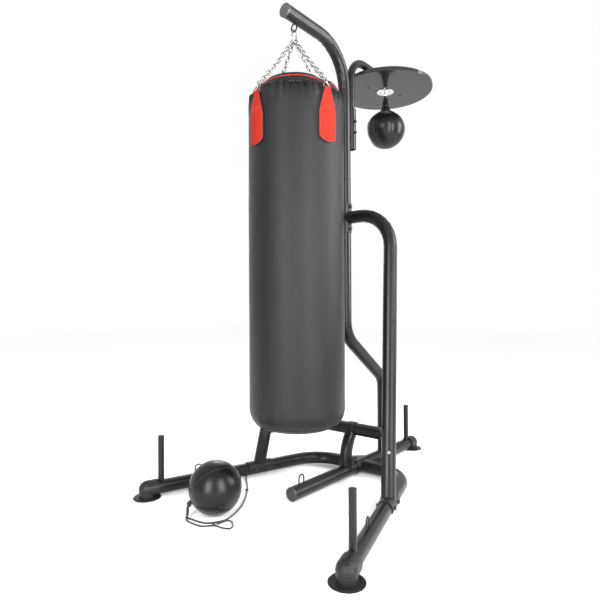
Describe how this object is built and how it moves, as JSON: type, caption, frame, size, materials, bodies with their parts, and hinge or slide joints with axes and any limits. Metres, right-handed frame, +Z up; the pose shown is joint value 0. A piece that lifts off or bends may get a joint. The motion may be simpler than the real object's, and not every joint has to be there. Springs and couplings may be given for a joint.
{
  "type": "punching bag on stand",
  "caption": "Free-standing steel tube boxing stand holding a hanging heavy bag, a speed bag under a round board, and a double-end ball on an elastic cord.",
  "frame": {"origin": "on the floor, midway between the front feet and the rear foot, on the stand's plane of symmetry", "axes": "+Z up; -Y towards the open side of the base where the boxer stands; +X towards the right-hand base arm, seen from the mast"},
  "size_m": [1.1, 1.44, 1.9781],
  "materials": {
    "frame_paint": "gloss black powder coat",
    "zinc_steel": "zinc plated",
    "chrome_steel": "polished",
    "plug_plastic": "moulded black",
    "cap_plastic": "glossy grey dome",
    "bag_vinyl": "semi-gloss vinyl",
    "orange_webbing": "woven webbing",
    "board_laminate": "glossy dark laminate",
    "black_leather": "glossy",
    "elastic_cord": "braided"
  },
  "bodies": {
    "stand": {"base_arm_right": "frame_paint", "base_arm_left": "frame_paint", "centre_tube": "frame_paint", "junction_collar": "frame_paint", "junction_gusset_right": "frame_paint", "junction_gusset_left": "frame_paint", "foot_right": "frame_paint", "foot_left": "frame_paint", "foot_rear": "frame_paint", "weight_peg_right": "frame_paint", "weight_peg_left": "frame_paint", "weight_peg_rear": "frame_paint", "anchor_loop_right": "frame_paint", "anchor_loop_left": "frame_paint", "anchor_loop_centre": "frame_paint", "brace_right": "frame_paint", "brace_left": "frame_paint", "brace_saddle_right": "frame_paint", "brace_saddle_left": "frame_paint", "crossbar": "frame_paint", "crossbar_saddle": "frame_paint", "crossbar_upright": "frame_paint", "mast_lower": "frame_paint", "mast_upper": "frame_paint", "mast_saddle_right": "frame_paint", "mast_saddle_left": "frame_paint", "hanger_eye": "frame_paint", "platform_receiver": "frame_paint", "saddle_bolt_right_front": "zinc_steel", "saddle_bolt_right_rear": "zinc_steel", "saddle_bolt_left_front": "zinc_steel", "saddle_bolt_left_rear": "zinc_steel", "crossbar_bolt_right": "zinc_steel", "crossbar_bolt_left": "zinc_steel", "mast_bolt_low": "zinc_steel", "mast_bolt_high": "zinc_steel", "bracket_bolt_low": "zinc_steel", "bracket_bolt_high": "zinc_steel", "centre_tube_cap": "plug_plastic", "arm_end_cap": "cap_plastic"},
    "heavy_bag": {"bag_body": "bag_vinyl", "bag_top_band": "bag_vinyl", "bag_strap_right": "orange_webbing", "bag_strap_rear": "orange_webbing", "bag_strap_left": "orange_webbing", "bag_strap_front": "orange_webbing", "chain_right": "zinc_steel", "chain_rear": "zinc_steel", "chain_left": "zinc_steel", "chain_front": "zinc_steel"},
    "bag_link": {"quick_link": "zinc_steel"},
    "platform": {"bracket_tube": "frame_paint", "bracket_plate": "frame_paint", "speed_board": "board_laminate", "swivel_base": "chrome_steel"},
    "speed_swivel": {"swivel_hook": "chrome_steel"},
    "speed_bag": {"speed_bag": "black_leather"},
    "double_end_ball": {"double_end_ball": "black_leather", "ball_strap": "black_leather", "ball_cord": "elastic_cord"}
  },
  "joints": [
    {"name": "bag_swing_fore_aft", "type": "hinge", "parent": "stand", "child": "bag_link", "pos_m": [0, -0.306, 1.8871], "axis": [-1, 0, 0], "range_deg": [-3, 35]},
    {"name": "bag_swing_sideways", "type": "hinge", "parent": "bag_link", "child": "heavy_bag", "pos_m": [0, -0.306, 1.846], "axis": [0, -1, 0], "range_deg": [-4, 4]},
    {"name": "platform_height", "type": "slide", "parent": "stand", "child": "platform", "axis": [0, 0, 1], "range_m": [-0.114, 0.057]},
    {"name": "speed_bag_spin", "type": "hinge", "parent": "platform", "child": "speed_swivel", "pos_m": [0, 0.412, 1.866], "axis": [0, 0, 1], "continuous": true},
    {"name": "speed_bag_swing", "type": "hinge", "parent": "speed_swivel", "child": "speed_bag", "pos_m": [0, 0.412, 1.866], "axis": [1, 0, 0], "range_deg": [-56, 56]},
    {"name": "ball_pulled_away", "type": "slide", "parent": "stand", "child": "double_end_ball", "axis": [0, -1, 0], "range_m": [0, 0.5]}
  ]
}
